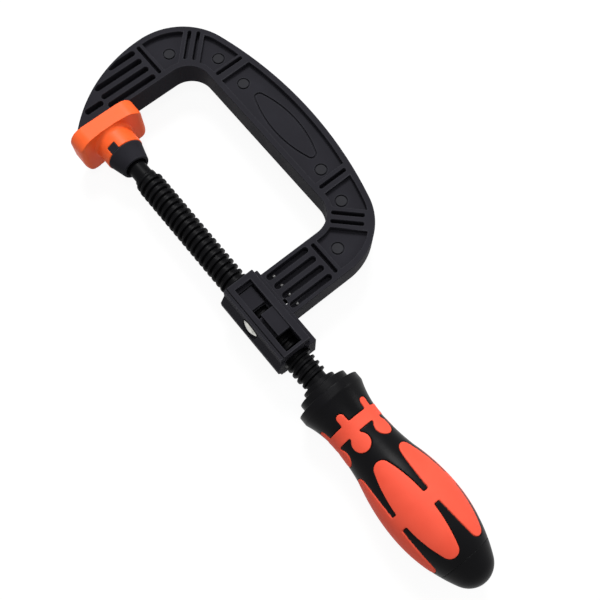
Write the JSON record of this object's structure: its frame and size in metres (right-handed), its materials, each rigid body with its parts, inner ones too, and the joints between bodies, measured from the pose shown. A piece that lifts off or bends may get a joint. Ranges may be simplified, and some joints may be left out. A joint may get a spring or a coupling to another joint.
{
  "type": "quick release c-clamp",
  "caption": "C-shaped bench clamp with a moulded frame, a screw with a swivel pad and a two-tone handle, and a push button that frees the screw for quick setting.",
  "frame": {"origin": "middle of the fixed jaw's face, on the screw axis", "axes": "+X along the screw from the fixed jaw to the handle, +Y from the screw to the spine, +Z across the thickness of the frame"},
  "size_m": [0.2891, 0.0973, 0.0344],
  "materials": {
    "black_nylon": "fine moulded texture, slight sheen",
    "black_screw": "smooth moulded thread",
    "black_handle": "satin handle",
    "orange_pad": "smooth soft gloss",
    "orange_grip": "soft matte grip",
    "polished_steel": "polished dome",
    "steel": "bright zinc",
    "dark_steel": "oiled black"
  },
  "bodies": {
    "frame": {"c_frame": "black_nylon", "side_cover": "black_nylon", "release_spring": "steel"},
    "release": {"release_slider": "black_nylon", "half_nut": "dark_steel", "release_stud": "polished_steel"},
    "ball": {"swivel_ball": "steel"},
    "screw": {"spindle": "black_screw", "ball_screw": "steel", "stop_ring": "black_handle", "handle_collar": "black_handle", "handle_core": "black_handle", "grip_front": "orange_grip", "grip_rear": "orange_grip", "handle_washer": "steel", "handle_bolt": "steel", "handle_end_cap": "black_handle"},
    "pad": {"swivel_pad": "orange_pad", "pad_socket": "black_nylon", "thrust_cup": "dark_steel"}
  },
  "joints": [
    {"name": "release_press", "type": "slide", "parent": "frame", "child": "release", "axis": [0, 1, 0], "range_m": [0, 0.0015], "stiffness_N_per_m": 1200, "springref_m": -0.002, "deforming": ["release_spring"]},
    {"name": "screw_travel", "type": "slide", "parent": "frame", "child": "ball", "axis": [1, 0, 0], "range_m": [0, 0.0762]},
    {"name": "screw_turn", "type": "hinge", "parent": "ball", "child": "screw", "pos_m": [0.016, 0, 0], "axis": [1, 0, 0], "range_deg": [0, 8641]},
    {"name": "pad_tilt", "type": "hinge", "parent": "ball", "child": "pad", "pos_m": [0.016, 0, 0], "axis": [0, 1, 0], "range_deg": [-6, 6]}
  ],
  "couplings": [
    {"joint": "screw_turn", "follows": "screw_travel", "rad_per_m": 1979}
  ]
}
